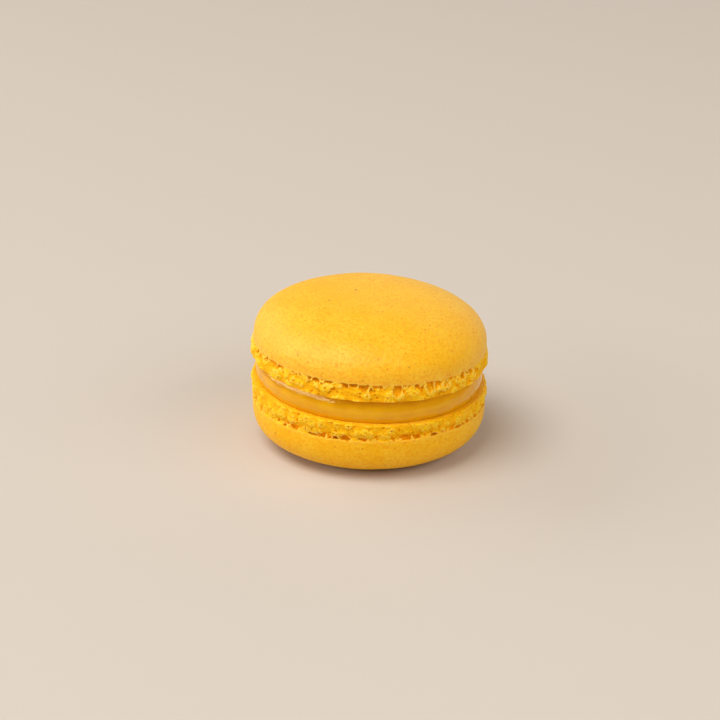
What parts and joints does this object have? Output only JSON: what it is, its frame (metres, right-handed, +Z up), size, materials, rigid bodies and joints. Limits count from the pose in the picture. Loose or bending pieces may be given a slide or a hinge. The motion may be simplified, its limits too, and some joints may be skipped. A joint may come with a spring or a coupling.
{
  "type": "french macaron",
  "caption": "Filled meringue biscuit: two smooth domed shells with ruffled feet around a glossy layer of filling, resting on a small flat spot.",
  "frame": {"origin": "middle of the flat spot that the biscuit rests on, under the centre of its outline", "axes": "+Z up, through both shells and the filling; +X to the right and +Y away from the viewer, with the top shell leaning down slightly towards +X"},
  "size_m": [0.0478, 0.0478, 0.0309],
  "materials": {
    "almond_shell": "matte baked almond meringue, golden yellow, smooth on the cap and porous on the foot",
    "filling": "glossy smooth custard-like cream, tan yellow"
  },
  "bodies": {
    "root": {"top_shell": "almond_shell", "filling": "filling", "bottom_shell": "almond_shell"}
  },
  "joints": []
}
